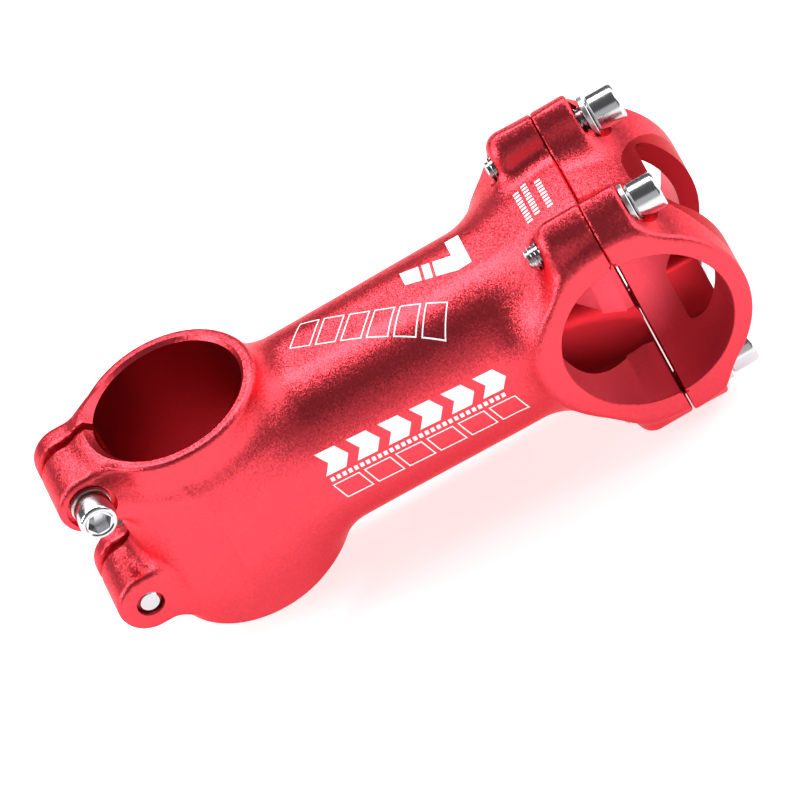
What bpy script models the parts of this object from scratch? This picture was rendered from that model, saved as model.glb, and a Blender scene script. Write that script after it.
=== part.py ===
"""Handlebar stem: a forged body that clamps a 28.6 mm steerer tube at the back, a bolted
faceplate that clamps a 31.8 mm handlebar at the front, and the six socket bolts and
washers that close the two clamps.

+Z runs up the steerer tube and +X forward to the handlebar; -Y is the rider's right.
The origin is on the steerer's axis, level with the clamp's bottom face. Lengths are in
millimetres until mesh_object turns them into metres.
"""

import math

import bmesh
import bpy
from mathutils import Matrix, Vector

MM = 0.001

# Driving dimensions
EXTENSION = 80.0  # steerer axis to handlebar axis
CLAMP_HEIGHT = 42.0
AXIS_Z = 19.5  # height of the handlebar's axis above the bottom face
STEERER_BORE_R = 28.6 / 2
BAR_BORE_R = 31.8 / 2
BAR_CLAMP_HALF_WIDTH = 21.5
BAR_CLAMP_R = 19.5
SPLIT_GAP = 0.6
TOUCH_GAP = 0.2  # between pieces that rest on each other

# Extension
EXTENSION_HALF = 16.7
EXTENSION_RISE = 0.25  # its centre line above the handlebar's axis
CAVITY = [
    # half width, corner radius, x: the cored-out inside, widening into the handlebar bore
    (9.8, 6.5, 6.0),
    (10.4, 7.0, 30.0),
    (11.4, 7.5, 50.0),
    (12.4, 7.5, 60.0),
    (13.4, 7.0, 68.0),
    (15.2, 8.0, 74.0),
    (16.4, 11.0, 80.0),
]

# Handlebar clamp bolts
BAR_BOLT_Y = 13.5
BAR_BOLT_Z = 20.4
BOSS_FRONT_X = 87.0
BOSS_OUTLINE = [
    # |y|, height from the handlebar's axis: the towers' section, foot to top and back
    (21.3, 12.0),
    (21.3, 18.9),
    (18.5, 23.8),
    (17.3, 25.7),
    (15.9, 26.5),
    (12.9, 26.5),
    (11.6, 25.9),
    (10.7, 24.2),
    (9.1, 19.5),
    (8.0, 12.0),
]
BOSS_BACK_X = 69.7  # at the bolts' axes
BOSS_BACK_SLOPE = 0.2
WINDOW_HALF = (10.0, 14.2)
WINDOW_CORNER_R = 3.5

# Steerer clamp ears
EAR_X = -20.5
EAR_R = 5.9
EAR_Z = {"upper": 35.6, "lower": 9.7}
EAR_FACE = 8.5
EAR_LEFT = {"upper": 10.0, "lower": 8.5}  # the left faces, in y
EAR_SEAT = 7.4
SLIT = 1.8
SLIT_Y = 3.7

# Fasteners
HEAD_R = 3.5
HEAD_LENGTH = {"bar": 5.5, "steerer": 5.0}
SHANK_R = 2.4
SHANK_LENGTH = {"bar": 21.0, "steerer": 16.8}
HOLE_R = 2.75
SOCKET_ACROSS_FLATS = 4.0
SOCKET_DEPTH = 2.8
WASHER_R = {"bar": 4.0, "steerer": 3.7}
WASHER_HOLE_R = 2.65
WASHER_THICKNESS = 1.0
SEAT_R = 4.6
# How far each faceplate bolt stands unscrewed from its seat.
STAND_OFF = {
    "top_right": 0.0,
    "top_left": 1.2,
    "bottom_right": 0.8,
    "bottom_left": 0.0,
}

OVERSHOOT = 5.0  # how far a cutter runs past the surface it opens


def material(name, colour, metallic, roughness):
    made = bpy.data.materials.new(name)
    made.use_nodes = True
    shader = made.node_tree.nodes["Principled BSDF"]
    shader.inputs["Base Color"].default_value = (*colour, 1.0)
    shader.inputs["Metallic"].default_value = metallic
    shader.inputs["Roughness"].default_value = roughness
    made.diffuse_color = (*colour, 1.0)
    return made


def mesh_object(name, points, faces):
    """A closed mesh object whose points are given in millimetres."""
    shape = bmesh.new()
    corners = [shape.verts.new(Vector(point) * MM) for point in points]
    for face in faces:
        shape.faces.new([corners[i] for i in face])
    bmesh.ops.recalc_face_normals(shape, faces=shape.faces)
    mesh = bpy.data.meshes.new(name)
    shape.to_mesh(mesh)
    shape.free()
    made = bpy.data.objects.new(name, mesh)
    bpy.context.scene.collection.objects.link(made)
    return made


def loft(name, rings):
    """A solid through rings of equally many points, closed by flat ends."""
    count = len(rings[0])
    points = [point for ring in rings for point in ring]
    faces = [tuple(range(count)), tuple(len(points) - 1 - i for i in range(count))]
    for row in range(len(rings) - 1):
        start = row * count
        for i in range(count):
            j = (i + 1) % count
            faces.append((start + i, start + j, start + count + j, start + count + i))
    return mesh_object(name, points, faces)


def circle(radius, sides, height):
    turn = math.tau / sides
    return [
        (radius * math.cos(i * turn), radius * math.sin(i * turn), height)
        for i in range(sides)
    ]


def turned(name, profile, sides):
    """A solid of revolution about Z, from (radius, height) pairs in order of height."""
    return loft(name, [circle(radius, sides, height) for radius, height in profile])


def place(obj, axis, centre):
    """Turns an object's own +Z to the given axis and moves it to a centre in millimetres."""
    turn = Vector((0, 0, 1)).rotation_difference(Vector(axis)).to_matrix().to_4x4()
    obj.data.transform(Matrix.Translation(Vector(centre) * MM) @ turn)
    return obj


def rod(radius, sides, axis, start, length):
    made = turned("rod", [(radius, 0.0), (radius, length)], sides)
    return place(made, axis, start)


def box(low, high):
    """A block between two opposite corners."""
    ends = list(zip(low, high))
    points = [(x, y, z) for z in ends[2] for x, y in block_corners(ends)]
    faces = [(3, 2, 1, 0), (4, 5, 6, 7)]
    faces += [(i, (i + 1) % 4, (i + 1) % 4 + 4, i + 4) for i in range(4)]
    return mesh_object("box", points, faces)


def block_corners(ends):
    (x0, x1), (y0, y1) = ends[:2]
    return [(x0, y0), (x1, y0), (x1, y1), (x0, y1)]


def rounded_rectangle(half_width, half_height, corner, steps):
    """Points round a rectangle with round corners, as (across, up)."""
    points = []
    for quarter in range(4):
        side_across = 1 if quarter in (0, 3) else -1
        side_up = 1 if quarter in (0, 1) else -1
        for step in range(steps + 1):
            angle = math.radians(90) * (quarter + step / steps)
            points.append(
                (
                    side_across * (half_width - corner) + corner * math.cos(angle),
                    side_up * (half_height - corner) + corner * math.sin(angle),
                )
            )
    return points


def boolean(target, tool, operation):
    """Applies one Boolean to target and removes the tool."""
    modifier = target.modifiers.new(operation, "BOOLEAN")
    modifier.operation = operation
    modifier.object = tool
    graph = bpy.context.evaluated_depsgraph_get()
    result = bpy.data.meshes.new_from_object(target.evaluated_get(graph))
    target.modifiers.clear()
    target.data = result
    bpy.data.objects.remove(tool)


def join(target, *tools):
    for tool in tools:
        boolean(target, tool, "UNION")


def cut(target, *tools):
    for tool in tools:
        boolean(target, tool, "DIFFERENCE")


def finish(obj, name, made_of):
    obj.name = name
    obj.data.name = name
    obj.data.materials.clear()
    obj.data.materials.append(made_of)
    obj.data.shade_smooth()
    obj.data.set_sharp_from_angle(angle=math.radians(32))


def steerer_barrel():
    edge = 0.7
    profile = [
        (16.4 - edge, 0.0),
        (16.4, edge),
        (17.0, 4.0),
        (17.6, 10.0),
        (17.6, 31.0),
        (17.3, 34.0),
        (16.9, 37.0),
        (16.9, CLAMP_HEIGHT - edge),
        (16.9 - edge, CLAMP_HEIGHT),
    ]
    return turned("barrel", profile, 56)


def extension_beam():
    """The beam between the clamps: a rounded square that flares to the handlebar clamp."""
    stations = [
        # x, half width, half height, corner radius
        (1.0, EXTENSION_HALF - 0.6, EXTENSION_HALF, 13.5),
        (20.0, EXTENSION_HALF, EXTENSION_HALF, 13.5),
        (54.0, EXTENSION_HALF + 0.4, EXTENSION_HALF + 0.4, 13.5),
        (58.0, EXTENSION_HALF + 1.2, EXTENSION_HALF + 0.6, 13.0),
        (61.0, EXTENSION_HALF + 2.6, EXTENSION_HALF + 0.8, 12.0),
        (64.0, EXTENSION_HALF + 4.0, EXTENSION_HALF + 1.0, 11.0),
        (67.0, BAR_CLAMP_HALF_WIDTH - 0.2, EXTENSION_HALF + 1.2, 10.0),
        (73.0, BAR_CLAMP_HALF_WIDTH - 0.2, EXTENSION_HALF + 1.2, 10.0),
    ]
    middle = AXIS_Z + EXTENSION_RISE
    rings = [
        [(x, across, middle + up) for across, up in rounded_rectangle(*section, 5)]
        for x, *section in stations
    ]
    return loft("beam", rings)


def clamp_ring():
    """The solid disc that becomes both halves of the handlebar clamp."""
    edge = 0.8
    profile = [
        (BAR_CLAMP_R - edge, 0.0),
        (BAR_CLAMP_R, edge),
        (BAR_CLAMP_R, 2 * BAR_CLAMP_HALF_WIDTH - edge),
        (BAR_CLAMP_R - edge, 2 * BAR_CLAMP_HALF_WIDTH),
    ]
    disc = turned("ring", profile, 72)
    return place(disc, (0, 1, 0), (EXTENSION, -BAR_CLAMP_HALF_WIDTH, AXIS_Z))


def boss(side, level, x_from, x_to, slope=0.0):
    """A bolt tower on the clamp, whose back may lean forward towards its top."""
    back = [
        (x_from + slope * (up - BAR_BOLT_Z), side * across, AXIS_Z + level * up)
        for across, up in BOSS_OUTLINE
    ]
    front = [(x_to, side * across, AXIS_Z + level * up) for across, up in BOSS_OUTLINE]
    return loft("boss", [back, front])


def ear(level, height):
    """A lug round one steerer bolt, with a web that ties it to the barrel."""
    left = EAR_LEFT[level]
    lug = rod(
        EAR_R,
        28,
        (0, 1, 0),
        (EAR_X, -EAR_FACE, height),
        EAR_FACE + left,
    )
    web = box(
        (EAR_X, -EAR_FACE, height - EAR_R + 0.02),
        (-12.5, left, height + EAR_R - 0.02),
    )
    join(lug, web)
    return lug


def bar_bore():
    start = (EXTENSION, -BAR_CLAMP_HALF_WIDTH - OVERSHOOT, AXIS_Z)
    length = 2 * (BAR_CLAMP_HALF_WIDTH + OVERSHOOT)
    return rod(BAR_BORE_R, 72, (0, 1, 0), start, length)


def corners():
    """(name, side in y, side in z) of the four faceplate bolts."""
    return [
        (f"{up}_{across}", side, level)
        for up, level in (("top", 1), ("bottom", -1))
        for across, side in (("right", -1), ("left", 1))
    ]


def bar_bolt_hole(side, level, x_from, x_to, radius=HOLE_R, sides=20):
    start = (x_from, side * BAR_BOLT_Y, AXIS_Z + level * BAR_BOLT_Z)
    return rod(radius, sides, (1, 0, 0), start, x_to - x_from)


def stem_body():
    body = steerer_barrel()
    join(body, extension_beam(), clamp_ring())
    split = EXTENSION - SPLIT_GAP / 2
    for _, side, level in corners():
        back = BOSS_BACK_X, split + OVERSHOOT, BOSS_BACK_SLOPE
        join(body, boss(side, level, *back))
    for level, height in EAR_Z.items():
        join(body, ear(level, height))

    reach = 60.0
    cut(body, box((split, -reach, -reach), (split + reach, reach, 2 * reach)))
    cut(body, bar_bore())
    bore_start = (0, 0, -OVERSHOOT)
    bore_length = CLAMP_HEIGHT + 2 * OVERSHOOT
    cut(body, rod(STEERER_BORE_R, 56, (0, 0, 1), bore_start, bore_length))
    cut(body, cavity())
    slit_low = (-reach, SLIT_Y - SLIT / 2, -OVERSHOOT)
    slit_high = (-STEERER_BORE_R + 2.0, SLIT_Y + SLIT / 2, CLAMP_HEIGHT + OVERSHOOT)
    cut(body, box(slit_low, slit_high))
    for _, side, level in corners():
        cut(body, bar_bolt_hole(side, level, BOSS_BACK_X - OVERSHOOT, split + OVERSHOOT))
    for level, height in EAR_Z.items():
        cut(body, *ear_cuts(head_side(level), height))
    return body


def cavity():
    """The cored-out inside of the extension."""
    rings = []
    for half, corner, x in CAVITY:
        outline = rounded_rectangle(half, half, corner, 9)
        rings.append([(x, across, AXIS_Z + up) for across, up in outline])
    return loft("cavity", rings)


def head_side(level):
    """The side in y that a steerer bolt's head is on."""
    return -1 if level == "upper" else 1


def ear_cuts(side, height):
    """The bolt hole and the head's counterbore."""
    reach = 2 * EAR_FACE
    hole = rod(HOLE_R, 20, (0, 1, 0), (EAR_X, -reach, height), 2 * reach)
    seat_start = (EAR_X, side * EAR_SEAT, height)
    seat = rod(SEAT_R, 28, (0, side, 0), seat_start, reach)
    return hole, seat


def faceplate():
    plate = clamp_ring()
    split = EXTENSION + SPLIT_GAP / 2
    for _, side, level in corners():
        join(plate, boss(side, level, split - OVERSHOOT, BOSS_FRONT_X))
    reach = 60.0
    cut(plate, box((split - reach, -reach, -reach), (split, reach, 2 * reach)))
    cut(plate, bar_bore())
    outline = rounded_rectangle(*WINDOW_HALF, WINDOW_CORNER_R, 6)
    window = [
        [(x, across, AXIS_Z + up) for across, up in outline]
        for x in (split + 1.0, split + reach)
    ]
    cut(plate, loft("window", window))
    for _, side, level in corners():
        cut(plate, bar_bolt_hole(side, level, split - OVERSHOOT, split + reach))
        cut(plate, bar_bolt_hole(side, level, BOSS_FRONT_X, split + reach, SEAT_R, 28))
    return plate


def bolt(length, head_length):
    """A socket bolt along +Z: the head's underside is at 0 and the shank runs down."""
    tip, under, rim, top = 0.6, 0.4, 0.5, head_length
    profile = [
        (SHANK_R - tip, -length),
        (SHANK_R, tip - length),
        (SHANK_R, 0.0),
        (HEAD_R - under, 0.0),
        (HEAD_R, under),
        (HEAD_R, top - rim),
        (HEAD_R - rim, top),
    ]
    made = turned("bolt", profile, 24)
    across_corners = SOCKET_ACROSS_FLATS / math.sqrt(3)
    floor = top - SOCKET_DEPTH
    cut(made, turned("socket", [(across_corners, floor), (across_corners, top + 1)], 6))
    return made


def washer(radius):
    """A flat ring lying on z = 0."""
    made = rod(radius, 24, (0, 0, 1), (0, 0, 0), WASHER_THICKNESS)
    hole_length = WASHER_THICKNESS + 2
    cut(made, rod(WASHER_HOLE_R, 24, (0, 0, 1), (0, 0, -1), hole_length))
    return made


def set_on_axis(obj, axis, base):
    """Puts an object's origin on its bolt's axis, with its own +Z along that axis."""
    turn = Vector((0, 0, 1)).rotation_difference(Vector(axis))
    obj.rotation_mode = "QUATERNION"
    obj.rotation_quaternion = turn
    obj.location = Vector(base) * MM


def fasten(stem_name, axis, seat, size, bolt_metal, washer_metal):
    """One bolt and its washer, standing along axis from the seat they close on."""
    outward = Vector(axis)
    under_washer = Vector(seat) + outward * TOUCH_GAP
    under_head = under_washer + outward * (WASHER_THICKNESS + TOUCH_GAP)
    ring = washer(WASHER_R[size])
    set_on_axis(ring, axis, under_washer)
    finish(ring, stem_name.replace("bolt", "washer"), washer_metal)
    screw = bolt(SHANK_LENGTH[size], HEAD_LENGTH[size])
    set_on_axis(screw, axis, under_head)
    finish(screw, stem_name, bolt_metal)


def main():
    for obj in list(bpy.data.objects):
        bpy.data.objects.remove(obj)
    red = material("red_anodised", (0.62, 0.012, 0.022), 0.85, 0.38)
    steel = material("bright_steel", (0.62, 0.62, 0.63), 1.0, 0.18)
    zinc = material("zinc_washer", (0.55, 0.55, 0.55), 1.0, 0.3)
    finish(stem_body(), "stem_body", red)
    finish(faceplate(), "faceplate", red)
    for name, side, level in corners():
        seat_x = BOSS_FRONT_X + STAND_OFF[name]
        seat = (seat_x, side * BAR_BOLT_Y, AXIS_Z + level * BAR_BOLT_Z)
        fasten(f"faceplate_bolt_{name}", (1, 0, 0), seat, "bar", steel, zinc)
    for level, height in EAR_Z.items():
        side = head_side(level)
        seat = (EAR_X, side * EAR_SEAT, height)
        fasten(f"steerer_bolt_{level}", (0, side, 0), seat, "steerer", steel, zinc)


main()
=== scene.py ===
"""Looks of the handlebar stem: forged and anodised body and faceplate, threaded bolts,
washers, printed marks, floor, light and camera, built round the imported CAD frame.

Lengths are in millimetres in the row frame, turned into metres where a mesh is made.
"""

import math

import bmesh
import bpy
import numpy as np
from mathutils import Matrix, Vector


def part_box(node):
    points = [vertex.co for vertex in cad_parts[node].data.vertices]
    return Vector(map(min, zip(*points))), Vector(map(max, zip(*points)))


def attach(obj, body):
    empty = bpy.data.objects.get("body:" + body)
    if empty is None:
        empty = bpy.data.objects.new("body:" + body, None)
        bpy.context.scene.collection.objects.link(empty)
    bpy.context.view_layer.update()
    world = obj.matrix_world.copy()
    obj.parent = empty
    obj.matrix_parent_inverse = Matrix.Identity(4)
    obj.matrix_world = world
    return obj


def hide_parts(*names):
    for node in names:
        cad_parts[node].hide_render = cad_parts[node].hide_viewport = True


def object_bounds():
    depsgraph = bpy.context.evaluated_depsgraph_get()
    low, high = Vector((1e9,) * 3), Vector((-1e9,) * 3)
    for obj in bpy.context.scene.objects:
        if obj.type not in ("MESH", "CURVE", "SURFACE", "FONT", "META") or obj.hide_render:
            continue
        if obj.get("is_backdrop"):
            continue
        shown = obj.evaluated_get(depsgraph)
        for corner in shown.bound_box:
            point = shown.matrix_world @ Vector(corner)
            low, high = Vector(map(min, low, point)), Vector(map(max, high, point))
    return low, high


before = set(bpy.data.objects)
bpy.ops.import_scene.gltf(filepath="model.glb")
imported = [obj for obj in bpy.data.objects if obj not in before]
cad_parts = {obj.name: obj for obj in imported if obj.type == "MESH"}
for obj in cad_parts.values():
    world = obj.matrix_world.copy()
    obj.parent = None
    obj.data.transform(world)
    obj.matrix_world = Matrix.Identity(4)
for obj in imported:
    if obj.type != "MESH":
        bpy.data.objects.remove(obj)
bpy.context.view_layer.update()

MM = 0.001

# Driving dimensions: the CAD model's, but for narrower gaps and full thread crests
EXTENSION = 80.0
CLAMP_HEIGHT = 42.0
AXIS_Z = 19.5  # height of the handlebar's axis above the bottom face
STEERER_BORE_R = 14.3
BAR_BORE_R = 15.9
BAR_HALF_WIDTH = 21.5
RING_R = 19.5
SPLIT_GAP = 0.3
CLOSED_GAP = 0.04  # where the clamp halves meet along their top
GROOVE = 0.7  # half width and depth of the bevelled split inside the handlebar bore
BORE_SIDES = 128

# Steerer clamp barrel
BARREL_FOOT_R = 16.1
BARREL_SWELL = 1.5  # how much the radius grows above the foot
COLLAR_STEP = 0.7  # how much it loses again at the collar

# Extension
BEAM_HALF = 16.7
BEAM_RISE = 0.25  # how far the beam's centre line is above the handlebar's axis
BEAM_CORNER = 13.5
BEAM_FLARE = 0.4
CAVITY_START = 6.0  # in x

# Handlebar clamp bolts and their towers
BAR_BOLT_Y = 13.5
BAR_BOLT_Z = 20.4
BOSS_BACK_X = 69.7  # at the bolts' axes
BOSS_BACK_SLOPE = 0.2
BOSS_TOP = 26.5
BOSS_FRONT_X = 87.0
BOSS_OVERLAP = 9.0  # how far the towers run past the split before it parts them
RIM_FLOOR = 150.0  # least squared height of the rim that the outer flanks end at
# A tower's flanks, as distance from the middle plane and height over the axis
OUTER_EDGE = (18.2, 23.8)
INNER_EDGE = (10.8, 24.0)
INNER_LEAN = (4.5, -1.8)  # square to the inner flank, into the tower
WINDOW_HALF = (10.0, 14.2)
WINDOW_CORNER_R = 3.5
WINDOW_SPAN = (81.5, 110.0)  # from inside the bore to past the front

# Steerer clamp ears
EAR_X = -20.5
EAR_R = 5.9
EAR_HEIGHTS = {"upper": 35.6, "lower": 9.7}
EAR_FACE = 8.5  # the right faces, in -y
EAR_LEFT = {"upper": 10.0, "lower": 8.5}  # the left faces, in y
EAR_LEFT_EDGE = {"upper": 2.4, "lower": 1.1}
EAR_SEAT = 7.4  # bottom of the counterbores
SLIT = 1.7
SLIT_Y = 3.7
SLIT_END_X = -9.0

# Fasteners
SEAT_R = 4.6
HOLE_R = 2.75
HOLE_SIDES = 40
TAPPED_R = 2.58
THREAD_R = 2.5
THREAD_DEPTH = 0.46
PITCH = 0.8
HEAD_R = 3.5
SOCKET_ACROSS_FLATS = 4.0
SOCKET_DEPTH = 2.8
WASHER_HOLE_R = 2.65
WASHER_THICKNESS = 1.0
WASHER_EDGE = 0.12
BOLT_SIZES = {
    # length under the head and length of the head
    "faceplate": (21.0, 5.5),
    "steerer": (16.8, 5.0),
}


# ---------------------------------------------------------------- distance fields


def join(a, b, radius):
    """Union of two fields with a fillet of this radius where they meet."""
    corner = np.hypot(np.maximum(radius - a, 0), np.maximum(radius - b, 0))
    return np.maximum(radius, np.minimum(a, b)) - corner


def keep(a, b, radius):
    """Intersection of two fields with the shared edge rounded to this radius."""
    corner = np.hypot(np.maximum(radius + a, 0), np.maximum(radius + b, 0))
    return np.minimum(-radius, np.maximum(a, b)) + corner


def rounded_box_2d(u, v, half_u, half_v, corner):
    """The field of a rectangle with round corners."""
    across = np.abs(u) - (half_u - corner)
    up = np.abs(v) - (half_v - corner)
    outside = np.hypot(np.maximum(across, 0), np.maximum(up, 0))
    return outside + np.minimum(np.maximum(across, up), 0) - corner


def ramp(t, start, end):
    """0 before start, 1 after end, smooth between."""
    s = np.clip((t - start) / (end - start), 0, 1)
    return s * s * (3 - 2 * s)


def barrel_field(x, y, z):
    """The steerer clamp: a barrel that swells below a straight collar."""
    radius = BARREL_FOOT_R + BARREL_SWELL * ramp(z, start=-4.0, end=10.0)
    radius = radius - COLLAR_STEP * ramp(z, start=32.5, end=36.5)
    side = np.hypot(x, y) - radius
    ends = np.maximum(-z, z - CLAMP_HEIGHT)
    return keep(side, ends, radius=0.9)


def beam_field(x, y, z):
    """The extension: a rounded square from inside the barrel to inside the clamp ring."""
    up = z - AXIS_Z - BEAM_RISE
    section = rounded_box_2d(y, up, BEAM_HALF, BEAM_HALF, BEAM_CORNER)
    section = section - BEAM_FLARE * ramp(x, start=20.0, end=60.0)
    return np.maximum(section, np.maximum(-x, x - EXTENSION))


def ring_field(x, y, z):
    """The disc that both clamp halves are cut from, left longer than their flat sides."""
    spare = 3.0
    side = np.hypot(x - EXTENSION, z - AXIS_Z) - RING_R
    return np.maximum(side, np.abs(y) - BAR_HALF_WIDTH - spare)


def boss_field(x, y, z, back, front):
    """The four bolt towers between two places along X, folded onto one.

    The outer flank runs straight down to the rim of the clamp ring, and the back leans.
    """
    across = np.abs(y)
    up = np.abs(z - AXIS_Z)
    rim = np.sqrt(np.maximum(RING_R**2 - (x - EXTENSION) ** 2, RIM_FLOOR))
    fall, run = OUTER_EDGE[1] - rim, BAR_HALF_WIDTH - OUTER_EDGE[0]
    outer = (across - OUTER_EDGE[0]) * fall + (up - OUTER_EDGE[1]) * run
    outer = outer / np.hypot(fall, run)
    inner = (across - INNER_EDGE[0]) * INNER_LEAN[0] + (up - INNER_EDGE[1]) * INNER_LEAN[1]
    inner = -inner / math.hypot(*INNER_LEAN)
    tower = keep(keep(outer, inner, radius=2.0), up - BOSS_TOP, radius=3.4)
    behind = back - x + BOSS_BACK_SLOPE * (up - BAR_BOLT_Z)
    tower = keep(tower, behind / math.hypot(1, BOSS_BACK_SLOPE), radius=2.8)
    return keep(tower, x - front, radius=0.8)


def ear_field(x, y, z):
    """Both rear lugs: round about their bolts and tied straight into the barrel."""
    lugs = None
    for level, height in EAR_HEIGHTS.items():
        reach = x - np.clip(x, EAR_X, 0)
        lug = np.hypot(reach, z - height) - EAR_R
        lug = keep(lug, -y - EAR_FACE, radius=1.1)
        lug = keep(lug, y - EAR_LEFT[level], radius=EAR_LEFT_EDGE[level])
        lugs = lug if lugs is None else np.minimum(lugs, lug)
    return lugs


def half_gap(z):
    """Half of the gap between the clamp halves, which closes above the handlebar."""
    closing = ramp(z - AXIS_Z, start=14.0, end=16.5)
    return (SPLIT_GAP - (SPLIT_GAP - CLOSED_GAP) * closing) / 2


def body_field(x, y, z):
    """The forging with its fillets, flat clamp sides, split and slit, before the bores."""
    bosses = boss_field(x, y, z, BOSS_BACK_X, EXTENSION + BOSS_OVERLAP)
    forging = join(barrel_field(x, y, z), beam_field(x, y, z), radius=6.0)
    forging = join(forging, ring_field(x, y, z), radius=8.0)
    forging = join(forging, bosses, radius=3.0)
    forging = join(forging, ear_field(x, y, z), radius=3.2)
    forging = keep(forging, np.abs(y) - BAR_HALF_WIDTH, radius=1.2)
    forging = keep(forging, x - EXTENSION + half_gap(z), radius=0.6)
    slit = np.maximum(np.abs(y - SLIT_Y) - SLIT / 2, x - SLIT_END_X)
    return keep(forging, -slit, radius=0.5)


def faceplate_field(x, y, z):
    """The front clamp half before its bore, holes and window."""
    bosses = boss_field(x, y, z, EXTENSION - BOSS_OVERLAP, BOSS_FRONT_X)
    plate = join(ring_field(x, y, z), bosses, radius=5.0)
    plate = keep(plate, np.abs(y) - BAR_HALF_WIDTH, radius=1.2)
    return keep(plate, EXTENSION + half_gap(z) - x, radius=0.6)


# ---------------------------------------------------------------- meshing a field


def grid_of(low, high, step):
    """Evenly spaced places along each axis that cover a box."""
    counts = np.ceil((np.array(high) - np.array(low)) / step).astype(int) + 1
    return [low[i] + step * np.arange(counts[i]) for i in range(3)]


def sample(field, axes):
    """The field at every grid point, a slab at a time to spare memory."""
    xs, ys, zs = axes
    values = np.empty((len(xs), len(ys), len(zs)), np.float32)
    for i, x in enumerate(xs):
        plane_y, plane_z = np.meshgrid(ys, zs, indexing="ij")
        values[i] = field(np.full_like(plane_y, x), plane_y, plane_z)
    return values


def crossing_points(values, axes, step):
    """One point per cell that the surface passes through, and each cell's number."""
    inside = values < 0
    cells = tuple(n - 1 for n in values.shape)
    total = np.zeros((*cells, 3))
    count = np.zeros(cells)
    for axis in range(3):
        near = [slice(None)] * 3
        far = [slice(None)] * 3
        near[axis], far[axis] = slice(0, -1), slice(1, None)
        a, b = values[tuple(near)], values[tuple(far)]
        crossed = inside[tuple(near)] != inside[tuple(far)]
        share = np.where(crossed, a / np.where(crossed, a - b, 1), 0)
        others = [k for k in range(3) if k != axis]
        for du in (0, 1):
            for dv in (0, 1):
                pick = [slice(None)] * 3
                pick[others[0]] = slice(du, cells[others[0]] + du)
                pick[others[1]] = slice(dv, cells[others[1]] + dv)
                hit = crossed[tuple(pick)]
                count += hit
                total[..., axis] += np.where(hit, share[tuple(pick)], 0)
                total[..., others[0]] += np.where(hit, du, 0)
                total[..., others[1]] += np.where(hit, dv, 0)
    used = count > 0
    number = np.full(cells, -1, np.int64)
    number[used] = np.arange(used.sum())
    at = np.argwhere(used) + total[used] / count[used][:, None]
    low = np.array([axis[0] for axis in axes])
    return low + step * at, number


def quads_of(values, number):
    """A quad across each grid edge that the surface crosses, facing outwards."""
    inside = values < 0
    found = []
    for axis in range(3):
        u, v = [(1, 2), (2, 0), (0, 1)][axis]
        near = [slice(None)] * 3
        far = [slice(None)] * 3
        near[axis], far[axis] = slice(0, -1), slice(1, None)
        changed = inside[tuple(near)] != inside[tuple(far)]
        at = np.argwhere(changed)
        limit = np.array(number.shape)
        at = at[(at[:, u] > 0) & (at[:, v] > 0)]
        at = at[(at[:, u] < limit[u]) & (at[:, v] < limit[v])]
        corners = []
        for du, dv in ((-1, -1), (0, -1), (0, 0), (-1, 0)):
            cell = at.copy()
            cell[:, u] += du
            cell[:, v] += dv
            corners.append(number[tuple(cell.T)])
        quads = np.stack(corners, axis=1)
        outward = inside[tuple(at.T)]
        quads[~outward] = quads[~outward][:, ::-1]
        found.append(quads)
    return np.concatenate(found)


def settle(field, points, rounds=4, probe=0.02):
    """Moves points onto the surface along the field's slope, in short moves."""
    longest_move, least_steepness = 0.3, 0.2
    for _ in range(rounds):
        value = field(*points.T)
        slope = np.empty_like(points)
        for axis in range(3):
            shift = np.zeros(3)
            shift[axis] = probe
            ahead, behind = field(*(points + shift).T), field(*(points - shift).T)
            slope[:, axis] = (ahead - behind) / (2 * probe)
        steep = np.maximum((slope**2).sum(1), least_steepness)
        move = np.clip(value / steep, -longest_move, longest_move)
        points = points - slope * move[:, None]
    return points


def surface_mesh(name, field, low, high, step):
    """The field's surface as an even quad mesh object."""
    axes = grid_of(low, high, step)
    values = sample(field, axes)
    points, number = crossing_points(values, axes, step)
    quads = quads_of(values, number)
    points = settle(field, points)
    mesh = bpy.data.meshes.new(name)
    mesh.from_pydata((points * MM).tolist(), [], quads.tolist())
    mesh.update()
    made = bpy.data.objects.new(name, mesh)
    bpy.context.scene.collection.objects.link(made)
    return made


# ---------------------------------------------------------------- solids and cutters


def mesh_object(name, points, faces):
    """A mesh object whose points are given in millimetres."""
    shape = bmesh.new()
    corners = [shape.verts.new(Vector(point) * MM) for point in points]
    for face in faces:
        shape.faces.new([corners[i] for i in face])
    bmesh.ops.recalc_face_normals(shape, faces=shape.faces)
    mesh = bpy.data.meshes.new(name)
    shape.to_mesh(mesh)
    shape.free()
    made = bpy.data.objects.new(name, mesh)
    bpy.context.scene.collection.objects.link(made)
    return made


def loft(name, rings):
    """A solid through rings of equally many points, closed by flat ends."""
    count = len(rings[0])
    points = [point for ring in rings for point in ring]
    faces = [tuple(range(count)), tuple(len(points) - 1 - i for i in range(count))]
    for row in range(len(rings) - 1):
        start = row * count
        for i in range(count):
            j = (i + 1) % count
            faces.append((start + i, start + j, start + count + j, start + count + i))
    return mesh_object(name, points, faces)


def circle(radius, sides, height):
    """Points round the Z axis."""
    turn = math.tau / sides
    return [
        (radius * math.cos(i * turn), radius * math.sin(i * turn), height)
        for i in range(sides)
    ]


def turned(name, profile, sides):
    """A solid of revolution about Z, from (radius, height) pairs in order of height."""
    return loft(name, [circle(radius, sides, height) for radius, height in profile])


def place(obj, axis, centre):
    """Turns an object's own +Z to the given axis and moves it to a centre."""
    turn = Vector((0, 0, 1)).rotation_difference(Vector(axis)).to_matrix().to_4x4()
    obj.data.transform(Matrix.Translation(Vector(centre) * MM) @ turn)
    return obj


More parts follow.
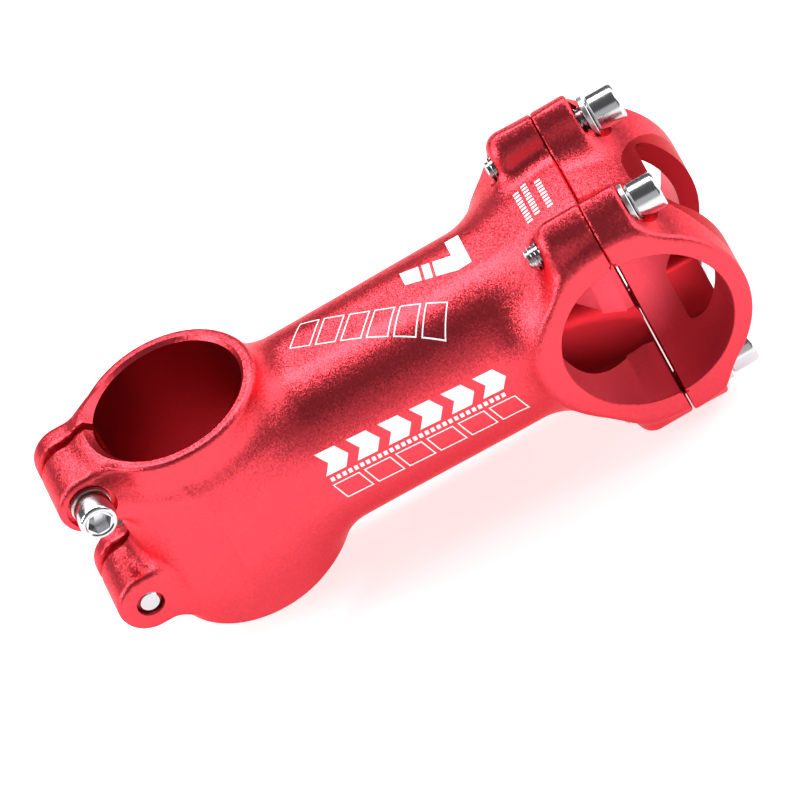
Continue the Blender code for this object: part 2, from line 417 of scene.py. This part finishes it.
def rounded_rectangle(half_width, half_height, corner, steps):
    """Points round a rectangle with round corners, as (across, up)."""
    points = []
    for quarter in range(4):
        side_across = 1 if quarter in (0, 3) else -1
        side_up = 1 if quarter in (0, 1) else -1
        for step in range(steps + 1):
            angle = math.radians(90) * (quarter + step / steps)
            points.append(
                (
                    side_across * (half_width - corner) + corner * math.cos(angle),
                    side_up * (half_height - corner) + corner * math.sin(angle),
                )
            )
    return points


def boolean(target, tool, operation):
    """Applies one Boolean to target and removes the tool."""
    modifier = target.modifiers.new(operation, "BOOLEAN")
    modifier.operation = operation
    modifier.object = tool
    graph = bpy.context.evaluated_depsgraph_get()
    result = bpy.data.meshes.new_from_object(target.evaluated_get(graph))
    target.modifiers.clear()
    target.data = result
    bpy.data.objects.remove(tool)


def cut(target, *tools):
    """Takes each tool out of target."""
    for tool in tools:
        boolean(target, tool, "DIFFERENCE")


def chamfered_bore(radius, length, chamfer):
    """A cutter along +Z from 0 to length whose mouths leave a small chamfer."""
    reach = 3.0  # how far each mouth runs past the end
    profile = [
        (radius + chamfer + reach, -reach),
        (radius, chamfer),
        (radius, length - chamfer),
        (radius + chamfer + reach, length + reach),
    ]
    return turned("bore", profile, BORE_SIDES)


def hole(radius, axis, start, length):
    """A round cutter from a place along an axis."""
    cutter = turned("hole", [(radius, 0), (radius, length)], HOLE_SIDES)
    return place(cutter, axis, start)


def smooth(obj, degrees=30):
    """Smooth shading, but for edges that turn by more than this angle."""
    obj.data.shade_smooth()
    obj.data.set_sharp_from_angle(angle=math.radians(degrees))


def cavity_section(x):
    """Half width and corner radius of the cored-out inside, which widens to the front."""
    along = (x - CAVITY_START) / (EXTENSION - CAVITY_START)
    half = 9.8 + 6.9 * along**3
    corner = 6.5 + 9.5 * along**10
    return half, corner


def cavity():
    """The cutter for the cored-out inside of the extension, open to both bores."""
    rings = []
    for x in np.linspace(CAVITY_START, EXTENSION, num=38):
        half, corner = cavity_section(x)
        outline = rounded_rectangle(half, half, corner, steps=16)
        rings.append([(x, across, AXIS_Z + up) for across, up in outline])
    return loft("cavity", rings)


def paint_inside_shade(obj):
    """Gives the inner walls darker materials as painted shade: index 1, or a lighter 2 in
    the handlebar bore.

    The cavity's outline is carried on past the split at its last size, so on the faceplate
    it also takes in the window's walls and a band of the outer face around them.
    """
    bar_slack, steerer_slack, cavity_slack = 0.02, 0.1, 0.05
    centres = np.empty(len(obj.data.polygons) * 3)
    obj.data.polygons.foreach_get("center", centres)
    x, y, z = (centres.reshape(-1, 3) / MM).T
    bar = np.hypot(x - EXTENSION, z - AXIS_Z) < BAR_BORE_R + bar_slack
    near_split = np.abs(x - EXTENSION) < GROOVE
    groove = near_split & (np.abs(z - AXIS_Z) < BAR_BORE_R + GROOVE) & ~bar
    below_collar = z < CLAMP_HEIGHT - 0.5
    steerer = (np.hypot(x, y) < STEERER_BORE_R + steerer_slack) & below_collar
    half, corner = cavity_section(np.clip(x, CAVITY_START, EXTENSION))
    cored = rounded_box_2d(y, z - AXIS_Z, half, half, corner) < cavity_slack
    # Bores, split bevels and cavity walls get the darker material: painted shade
    shade_painted_faces = steerer | groove | (cored & (x > 10))
    index = np.where(bar, 2, np.where(shade_painted_faces, 1, 0))
    obj.data.polygons.foreach_set("material_index", index.astype(np.int32))


def smooth_marked(obj):
    """Smooth shading, with sharp seams between materials even at a low angle."""
    smooth(obj)
    shape = bmesh.new()
    shape.from_mesh(obj.data)
    for edge in shape.edges:
        if len({face.material_index for face in edge.link_faces}) > 1:
            edge.smooth = False
    shape.to_mesh(obj.data)
    shape.free()


def bolt_corners():
    """(name, side in y, side in z) of the four faceplate bolts."""
    return [
        (f"{up}_{across}", side, level)
        for up, level in (("top", 1), ("bottom", -1))
        for across, side in (("right", -1), ("left", 1))
    ]


def bar_bore_cutter():
    """The cutter for the handlebar's bore."""
    bore = chamfered_bore(BAR_BORE_R, 2 * BAR_HALF_WIDTH, chamfer=0.15)
    return place(bore, (0, 1, 0), (EXTENSION, -BAR_HALF_WIDTH, AXIS_Z))


def split_groove(level):
    """The bevel along the split's two edges inside the handlebar bore, as one prism.

    The level is 1 above the bar and -1 below it.
    """
    sunk = 0.3  # how far its base is inside the bore
    end = BAR_HALF_WIDTH + 1
    at = AXIS_Z + level * BAR_BORE_R
    corners = [(-GROOVE, -sunk), (0, GROOVE), (GROOVE, -sunk)]
    rings = [
        [(EXTENSION + across, y, at + level * up) for across, up in corners]
        for y in (-end, end)
    ]
    return loft("split_groove", rings)


def head_side(level):
    """The side in y that a steerer bolt's head is on."""
    return -1 if level == "upper" else 1


def stem_body():
    """The body: its forging, then the bores, the cavity and the bolt holes."""
    step = 0.45
    low, high = (-28, -23, -8), (81, 23, 47)
    body = surface_mesh("forged_body", body_field, low, high, step)
    cut(body, bar_bore_cutter())
    cut(body, chamfered_bore(STEERER_BORE_R, CLAMP_HEIGHT, chamfer=0.7))
    cut(body, cavity(), split_groove(1), split_groove(-1))
    for _, side, level in bolt_corners():
        start = (60, side * BAR_BOLT_Y, AXIS_Z + level * BAR_BOLT_Z)
        cut(body, hole(TAPPED_R, (1, 0, 0), start, length=24))
    for level, height in EAR_HEIGHTS.items():
        side = head_side(level)
        seat = (EAR_X, side * EAR_SEAT, height)
        cut(body, hole(TAPPED_R, (0, 1, 0), (EAR_X, -12, height), length=24))
        cut(body, hole(SEAT_R, (0, side, 0), seat, length=9))
    paint_inside_shade(body)
    smooth_marked(body)
    return body


def faceplate():
    """The faceplate: its forging, then the bore, the window and the bolt holes."""
    step = 0.42
    low, high = (79, -23, -8), (101, 23, 47)
    plate = surface_mesh("forged_faceplate", faceplate_field, low, high, step)
    cut(plate, bar_bore_cutter(), split_groove(1), split_groove(-1))
    outline = rounded_rectangle(*WINDOW_HALF, WINDOW_CORNER_R, steps=10)
    window = [[(x, u, AXIS_Z + v) for u, v in outline] for x in WINDOW_SPAN]
    cut(plate, loft("window", window))
    for _, side, level in bolt_corners():
        at = (side * BAR_BOLT_Y, AXIS_Z + level * BAR_BOLT_Z)
        cut(plate, hole(HOLE_R, (1, 0, 0), (75, *at), length=30))
        cut(plate, hole(SEAT_R, (1, 0, 0), (BOSS_FRONT_X, *at), length=14))
    paint_inside_shade(plate)
    smooth_marked(plate)
    return plate


# ---------------------------------------------------------------- fasteners


def thread_radius(height, turn):
    """The thread's radius at a height along the shank and a share of a turn.

    The crest and the root are flats, and two straight flanks join them.
    """
    phase = (height / PITCH - turn) % 1.0
    depth = min(1.0, max(0.0, 2.4 * abs(phase - 0.5) - 0.1))
    return THREAD_R - THREAD_DEPTH * depth


def bolt(name, length, head_length):
    """A socket bolt along +Z with a real helical thread; 0 is the head's underside."""
    sides = 32
    step = PITCH / 8
    tip_bevel = 0.3
    tip_radius = THREAD_R - 0.75
    rings = [circle(tip_radius, sides, -length)]
    rows = round((length - tip_bevel) / step)
    for row in range(rows + 1):
        height = -length + tip_bevel + row * step
        run_out = min(1.0, max(0.0, -height / PITCH))
        lead_in = 0.45 * (1 - min(1.0, height + length))
        ring = []
        for i in range(sides):
            share = i / sides
            radius = THREAD_R - (THREAD_R - thread_radius(height, share)) * run_out
            radius -= lead_in
            angle = share * math.tau
            ring.append((radius * math.cos(angle), radius * math.sin(angle), height))
        rings.append(ring)
    head = [
        (THREAD_R, -0.01),
        (3.1, 0.0),
        (HEAD_R, 0.45),
        (HEAD_R, head_length - 0.7),
        (3.44, head_length - 0.38),
        (3.25, head_length - 0.12),
        (3.0, head_length),
        (2.7, head_length),
        (2.42, head_length - 0.25),
    ]
    rings += [circle(radius, sides, height) for radius, height in head]
    made = loft(name, rings)
    across_corners = SOCKET_ACROSS_FLATS / math.sqrt(3)
    floor_height = head_length - SOCKET_DEPTH
    socket = [
        (0.4, floor_height - 0.6),
        (across_corners, floor_height),
        (across_corners, head_length + 1),
    ]
    cut(made, turned("socket", socket, sides=6))
    smooth(made, degrees=35)
    return made


def washer(name, outer):
    """A flat ring lying on z = 0 with softened edges."""
    sides = 48
    soft = WASHER_EDGE
    profile = [
        (WASHER_HOLE_R, soft),
        (WASHER_HOLE_R + soft, 0.0),
        (outer - soft, 0.0),
        (outer, soft),
        (outer, WASHER_THICKNESS - soft),
        (outer - soft, WASHER_THICKNESS),
        (WASHER_HOLE_R + soft, WASHER_THICKNESS),
        (WASHER_HOLE_R, WASHER_THICKNESS - soft),
    ]
    count = len(profile)
    points = [point for radius, height in profile for point in circle(radius, sides, height)]
    faces = []
    for row in range(count):
        below, above = row * sides, (row + 1) % count * sides
        for i in range(sides):
            j = (i + 1) % sides
            faces.append((below + i, below + j, above + j, above + i))
    made = mesh_object(name, points, faces)
    smooth(made, degrees=35)
    return made


# ---------------------------------------------------------------- printed marks

OVER_TOP = 60.0  # the height that marks on the top drop from
OFF_SIDE = -30.0  # the y that marks on the right side start from


def slanted(left, low, width, height, lean):
    """A parallelogram as corner points, its top shifted by lean times its height."""
    shift = lean * height
    return [
        (left, low),
        (left + width, low),
        (left + width + shift, low + height),
        (left + shift, low + height),
    ]


def outline_of(corners, line):
    """The four strips of a thin outline just inside a parallelogram."""
    centre_u = sum(u for u, _ in corners) / 4
    centre_v = sum(v for _, v in corners) / 4
    width = corners[1][0] - corners[0][0]
    height = corners[2][1] - corners[1][1]
    inner = [
        (
            centre_u + (u - centre_u) * (1 - 2 * line / width),
            centre_v + (v - centre_v) * (1 - 2 * line / height),
        )
        for u, v in corners
    ]
    return [
        [corners[i], corners[(i + 1) % 4], inner[(i + 1) % 4], inner[i]] for i in range(4)
    ]


def dashes(start, end, level, height, pitch):
    """A row of small marks with narrower gaps."""
    width = pitch * 0.62
    count = int((end - start) / pitch)
    return [slanted(start + i * pitch, level, width, height, lean=0.0) for i in range(count)]


def chevron(left, low, width, height, reach):
    """A bold arrow mark in two slanted halves that meet at its middle."""
    middle, top = low + height / 2, low + height
    tip = left + reach
    return [
        [(left, low), (left + width, low), (tip + width, middle), (tip, middle)],
        [(tip, middle), (tip + width, middle), (left + width, top), (left, top)],
    ]


def printed(name, polygons, to_space, towards):
    """White ink laid on the forging.

    Flat shapes are cut into small cells, given two sides, and dropped onto the surface
    along one direction. One side then stands just above it and the other just below.
    """
    cell = 0.8
    half_thickness = 0.05
    drops = 12  # moves by the field's value, which close in on the surface
    flat = bmesh.new()
    for polygon in polygons:
        flat.faces.new([flat.verts.new((u, v, 0)) for u, v in polygon])
    bmesh.ops.remove_doubles(flat, verts=flat.verts, dist=1e-4)
    for axis in range(2):
        values = [vertex.co[axis] for vertex in flat.verts]
        normal = [(1, 0, 0), (0, 1, 0)][axis]
        for level in np.arange(math.floor(min(values)), max(values), cell):
            everything = flat.verts[:] + flat.edges[:] + flat.faces[:]
            at = [level if k == axis else 0 for k in range(3)]
            bmesh.ops.bisect_plane(flat, geom=everything, plane_co=at, plane_no=normal)
    bmesh.ops.triangulate(flat, faces=flat.faces)
    extruded = bmesh.ops.extrude_face_region(flat, geom=flat.faces[:])["geom"]
    raised = {item for item in extruded if isinstance(item, bmesh.types.BMVert)}
    points = np.array([to_space(*vertex.co[:2]) for vertex in flat.verts])
    towards = np.array(towards, float)
    for _ in range(drops):
        points += towards * body_field(*points.T)[:, None]
    side = np.array([1 if vertex in raised else -1 for vertex in flat.verts])
    points -= towards * half_thickness * side[:, None]
    for vertex, point in zip(flat.verts, points):
        vertex.co = Vector(point) * MM
    bmesh.ops.recalc_face_normals(flat, faces=flat.faces)
    mesh = bpy.data.meshes.new(name)
    flat.to_mesh(mesh)
    flat.free()
    made = bpy.data.objects.new(name, mesh)
    bpy.context.scene.collection.objects.link(made)
    return made


def side_point(u, v):
    """A place off the right side: along the row of marks, which dips forward, and up."""
    start, level, dip = 18.0, 2.8, 0.058
    return (start + u, OFF_SIDE, AXIS_Z + level - dip * u + v)


def top_point(u, v):
    """A place above the top face."""
    return (u, v, OVER_TOP)


def top_row_point(u, v):
    """A place on the top along the slanted row: it runs forward and to the right."""
    x = 23.1 + 0.858 * u + 0.569 * v
    y = 1.9 - 0.513 * u + 0.823 * v
    return (x, y, OVER_TOP)


def side_blocks():
    """The large row of arrows along the right side."""
    marks = []
    for i in range(6):
        marks += chevron(i * 6.15, 0.0, width=3.9, height=5.0, reach=1.5)
    return printed("printed_side_arrows", marks, side_point, (0, 1, 0))


def side_line():
    """The dashes under the arrows."""
    marks = dashes(0.4, 35.5, level=-1.7, height=0.95, pitch=1.15)
    return printed("printed_side_dashes", marks, side_point, (0, 1, 0))


def side_outlines():
    """The outlined row under the dashes."""
    marks = []
    for i in range(6):
        box = slanted(i * 6.1 + 1.4, -6.5, width=5.2, height=4.1, lean=-0.3)
        marks += outline_of(box, line=0.22)
    return printed("printed_side_outlines", marks, side_point, (0, 1, 0))


def top_block():
    """A plain angle mark whose long arm is cut by two slanted gaps."""
    marks = [
        [(46.4, 1.2), (49.4, 0.1), (49.9, 3.9), (46.4, 4.9)],
        [(50.0, -0.2), (51.4, -0.7), (51.9, 3.3), (50.5, 3.7)],
        [(52.0, -0.9), (55.9, -2.4), (56.0, 2.0), (52.5, 3.1)],
        [(55.9, -2.4), (58.7, -2.2), (58.7, 6.6), (56.0, 6.6), (56.0, 2.0)],
    ]
    return printed("printed_top_angle", marks, top_point, (0, 0, -1))


def top_outlines():
    """The outlined row that runs across the top."""
    marks = []
    for i in range(6):
        box = slanted(i * 5.0, 0.0, width=4.1, height=6.4, lean=0.0)
        marks += outline_of(box, line=0.22)
    return printed("printed_top_outlines", marks, top_row_point, (0, 0, -1))


def clamp_ticks():
    """Three short rows of marks across the valley between the upper towers."""
    pitch = 0.95
    marks = []
    for x, start, end in ((70.6, -3.6, 5.6), (72.4, -3.0, 6.4), (75.0, -3.4, 5.6)):
        for i in range(round((end - start) / pitch)):
            marks.append(slanted(x, start + i * pitch, width=1.15, height=0.5, lean=0.0))
    return printed("printed_clamp_ticks", marks, top_point, (0, 0, -1))


# ---------------------------------------------------------------- materials


def new_material(name):
    """A material with its node tree and its shader."""
    made = bpy.data.materials.new(name)
    made.use_nodes = True
    return made, made.node_tree, made.node_tree.nodes["Principled BSDF"]


def anodised(name, colour, tilt, roughness, coat, metallic):
    """Aluminium under a dyed oxide, whose blasted surface is facets tilted at random."""
    made, tree, shader = new_material(name)
    nodes, links = tree.nodes, tree.links
    place_at = nodes.new("ShaderNodeTexCoord")
    facets = nodes.new("ShaderNodeTexVoronoi")
    facets.inputs["Scale"].default_value = 6500.0
    links.new(place_at.outputs["Object"], facets.inputs["Vector"])
    lean = nodes.new("ShaderNodeVectorMath")
    lean.operation = "SUBTRACT"
    lean.inputs[1].default_value = (0.5, 0.5, 0.5)
    links.new(facets.outputs["Color"], lean.inputs[0])
    scaled = nodes.new("ShaderNodeVectorMath")
    scaled.operation = "SCALE"
    scaled.inputs["Scale"].default_value = tilt
    links.new(lean.outputs["Vector"], scaled.inputs[0])
    surface = nodes.new("ShaderNodeNewGeometry")
    tipped = nodes.new("ShaderNodeVectorMath")
    links.new(surface.outputs["Normal"], tipped.inputs[0])
    links.new(scaled.outputs["Vector"], tipped.inputs[1])
    unit = nodes.new("ShaderNodeVectorMath")
    unit.operation = "NORMALIZE"
    links.new(tipped.outputs["Vector"], unit.inputs[0])
    links.new(unit.outputs["Vector"], shader.inputs["Normal"])
    links.new(unit.outputs["Vector"], shader.inputs["Coat Normal"])

    cloud = nodes.new("ShaderNodeTexNoise")
    cloud.inputs["Scale"].default_value = 1500.0
    cloud.inputs["Detail"].default_value = 4.0
    links.new(place_at.outputs["Object"], cloud.inputs["Vector"])
    tone = nodes.new("ShaderNodeMixRGB")
    tone.inputs[1].default_value = (*[c * 0.8 for c in colour], 1)
    tone.inputs[2].default_value = (*colour, 1)
    links.new(cloud.outputs["Fac"], tone.inputs[0])
    links.new(tone.outputs[0], shader.inputs["Base Color"])
    shader.inputs["Roughness"].default_value = roughness
    shader.inputs["Metallic"].default_value = metallic
    shader.inputs["Specular Tint"].default_value = (1.0, 0.4, 0.42, 1)
    shader.inputs["Coat Weight"].default_value = coat
    shader.inputs["Coat Roughness"].default_value = roughness
    return made


def plated(name, colour, roughness):
    """Bright plated steel, a little uneven in its gloss."""
    made, tree, shader = new_material(name)
    nodes, links = tree.nodes, tree.links
    place_at = nodes.new("ShaderNodeTexCoord")
    cloud = nodes.new("ShaderNodeTexNoise")
    cloud.inputs["Scale"].default_value = 900.0
    cloud.inputs["Detail"].default_value = 4.0
    links.new(place_at.outputs["Object"], cloud.inputs["Vector"])
    gloss = nodes.new("ShaderNodeMapRange")
    gloss.inputs["To Min"].default_value = roughness * 0.8
    gloss.inputs["To Max"].default_value = roughness * 1.25
    links.new(cloud.outputs["Fac"], gloss.inputs["Value"])
    links.new(gloss.outputs["Result"], shader.inputs["Roughness"])
    shader.inputs["Base Color"].default_value = (*colour, 1)
    shader.inputs["Metallic"].default_value = 1.0
    return made


def ink_with_painted_glow(name):
    """Screen-printed white, very slightly uneven, with a faint glow as painted light."""
    made, tree, shader = new_material(name)
    nodes, links = tree.nodes, tree.links
    place_at = nodes.new("ShaderNodeTexCoord")
    cloud = nodes.new("ShaderNodeTexNoise")
    cloud.inputs["Scale"].default_value = 2500.0
    links.new(place_at.outputs["Object"], cloud.inputs["Vector"])
    tone = nodes.new("ShaderNodeMixRGB")
    tone.inputs[1].default_value = (0.93, 0.92, 0.92, 1)
    tone.inputs[2].default_value = (1.0, 1.0, 1.0, 1)
    links.new(cloud.outputs["Fac"], tone.inputs[0])
    links.new(tone.outputs[0], shader.inputs["Base Color"])
    shader.inputs["Roughness"].default_value = 0.45
    # The print is no lamp: this glow is painted light that keeps the white bright
    shader.inputs["Emission Color"].default_value = (1, 1, 1, 1)
    shader.inputs["Emission Strength"].default_value = 0.22
    return made


def dress(piece, materials, slot, body, *nodes):
    """Gives a piece its materials and its body, and hides the CAD nodes that it stands for.

    Clearing the materials would lose which face has which, so that is put back.
    """
    faces = [face.material_index for face in piece.data.polygons]
    piece.data.materials.clear()
    for material in materials:
        piece.data.materials.append(material)
    piece.data.polygons.foreach_set("material_index", faces)
    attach(piece, body)
    if nodes:
        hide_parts(*nodes)


# ---------------------------------------------------------------- build

RED = [
    # name, colour, tilt of the grain, roughness, coat, metallic
    anodised("red_anodised_blasted", (0.8, 0.052, 0.075), 0.3, 0.36, 0.22, 1.0),
    # The same red made much darker, as painted shade for the bores, split and hollows
    anodised("red_anodised_painted_shade", (0.38, 0.003, 0.01), 0.06, 0.42, 0.2, 1.0),
    # The handlebar bore: a duller finish, and a colour a little darker as painted shade
    anodised("red_anodised_bore", (0.72, 0.04, 0.07), 0.1, 0.5, 0.2, 0.5),
]
STEEL = [plated("bright_plated_steel", (0.6, 0.6, 0.62), 0.2)]
ZINC = [plated("zinc_plated_washer", (0.66, 0.66, 0.66), 0.32)]
WHITE = [ink_with_painted_glow("white_print_painted_glow")]


def fit_fastener(node, body, kind, axis):
    """Stands a detailed bolt or washer where its CAD node is, along the bolt's axis."""
    low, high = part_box(node)
    centre = (low + high) / 2
    outward = Vector(axis)
    half = abs((high - low).dot(outward)) / 2
    if kind == "washer":
        radius = abs((high - low)[2]) / 2 / MM
        piece = washer(node + "_ring", radius)
        base = centre - outward * half
        material, slot = ZINC, "zinc_washer"
    else:
        length, head = BOLT_SIZES[node.split("_")[0]]
        piece = bolt(node + "_socket", length, head)
        base = centre + outward * (half - head * MM)
        material, slot = STEEL, "bright_steel"
    place(piece, axis, base / MM)
    dress(piece, material, slot, body, node)


dress(stem_body(), RED, "red_anodised", "stem", "stem_body")
dress(faceplate(), RED, "red_anodised", "faceplate", "faceplate")
for marks in (side_blocks, side_line, side_outlines, top_block, top_outlines, clamp_ticks):
    dress(marks(), WHITE, None, "stem")

for corner, _, _ in bolt_corners():
    fit_fastener(f"faceplate_bolt_{corner}", f"bolt_{corner}", "bolt", (1, 0, 0))
    fit_fastener(f"faceplate_washer_{corner}", f"washer_{corner}", "washer", (1, 0, 0))
for level in EAR_HEIGHTS:
    outward = (0, head_side(level), 0)
    fit_fastener(f"steerer_bolt_{level}", f"bolt_steerer_{level}", "bolt", outward)
    fit_fastener(f"steerer_washer_{level}", f"washer_steerer_{level}", "washer", outward)


# ---------------------------------------------------------------- stage, light and camera

FLOOR_GAP = 0.0005  # in metres
low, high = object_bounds()
bpy.ops.mesh.primitive_plane_add(size=6, location=(0.035, 0, low[2] - FLOOR_GAP))
floor = bpy.context.object
floor.name = "studio_floor"
floor_material, _, floor_shader = new_material("pale_floor")
floor_shader.inputs["Base Color"].default_value = (0.8, 0.8, 0.8, 1)
floor_shader.inputs["Roughness"].default_value = 0.9
floor_shader.inputs["Emission Color"].default_value = (1, 1, 1, 1)
floor_shader.inputs["Emission Strength"].default_value = 0.7
floor.data.materials.append(floor_material)
floor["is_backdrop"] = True

world = bpy.data.worlds.new("studio")
bpy.context.scene.world = world
world.use_nodes = True
sky = world.node_tree.nodes["Background"]
sky.inputs["Color"].default_value = (1, 1, 1, 1)
sky.inputs["Strength"].default_value = 0.1


def softbox(name, place_m, aim_m, width, height, watts):
    """A rectangular lamp aimed at a point; places and sizes are in metres."""
    lamp = bpy.data.lights.new(name, "AREA")
    lamp.shape = "RECTANGLE"
    lamp.size, lamp.size_y = width, height
    lamp.energy = watts
    made = bpy.data.objects.new(name, lamp)
    made.location = place_m
    aim = Vector(aim_m) - Vector(place_m)
    made.rotation_euler = aim.to_track_quat("-Z", "Y").to_euler()
    bpy.context.scene.collection.objects.link(made)


# The centre of the picture, in metres
CENTRE = Vector((0.03539, 0.0, 0.01554))

SOFTBOXES = [
    # name, place, width, height, watts
    ("overhead_back", (0.05, 0.52, 0.85), 1.4, 0.35, 12.5),
    ("left_side", (-0.9, 0.1, 0.45), 0.5, 0.5, 6),
    ("right_side", (0.9, 0.1, 0.45), 0.9, 0.9, 7),
    ("camera_side", (0.05, -0.9, 0.28), 1.0, 0.8, 1.4),
]
for name, place_m, width, height, watts in SOFTBOXES:
    softbox(name, place_m, CENTRE, width, height, watts)

# The camera looks down on the right side and is rolled
AZIMUTH = math.radians(2.03)
ELEVATION = math.radians(39.4)
ROLL = math.radians(30.54)
DISTANCE = 3.0
FRAME_WIDTH = 0.14134  # at the centre of the picture
SENSOR_WIDTH = 36.0

back = Vector(
    (
        math.sin(AZIMUTH) * math.cos(ELEVATION),
        -math.cos(AZIMUTH) * math.cos(ELEVATION),
        math.sin(ELEVATION),
    )
)
level_right = Vector((math.cos(AZIMUTH), math.sin(AZIMUTH), 0))
level_up = back.cross(level_right)
right = level_right * math.cos(ROLL) - level_up * math.sin(ROLL)
up = level_right * math.sin(ROLL) + level_up * math.cos(ROLL)
lens = bpy.data.cameras.new("camera")
lens.sensor_width = SENSOR_WIDTH
lens.lens = SENSOR_WIDTH * DISTANCE / FRAME_WIDTH
camera = bpy.data.objects.new("camera", lens)
turn = Matrix((right, up, back)).transposed().to_4x4()
camera.matrix_world = Matrix.Translation(CENTRE + back * DISTANCE) @ turn
bpy.context.scene.collection.objects.link(camera)
bpy.context.scene.camera = camera
bpy.context.scene.view_settings.view_transform = "Standard"

low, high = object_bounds()
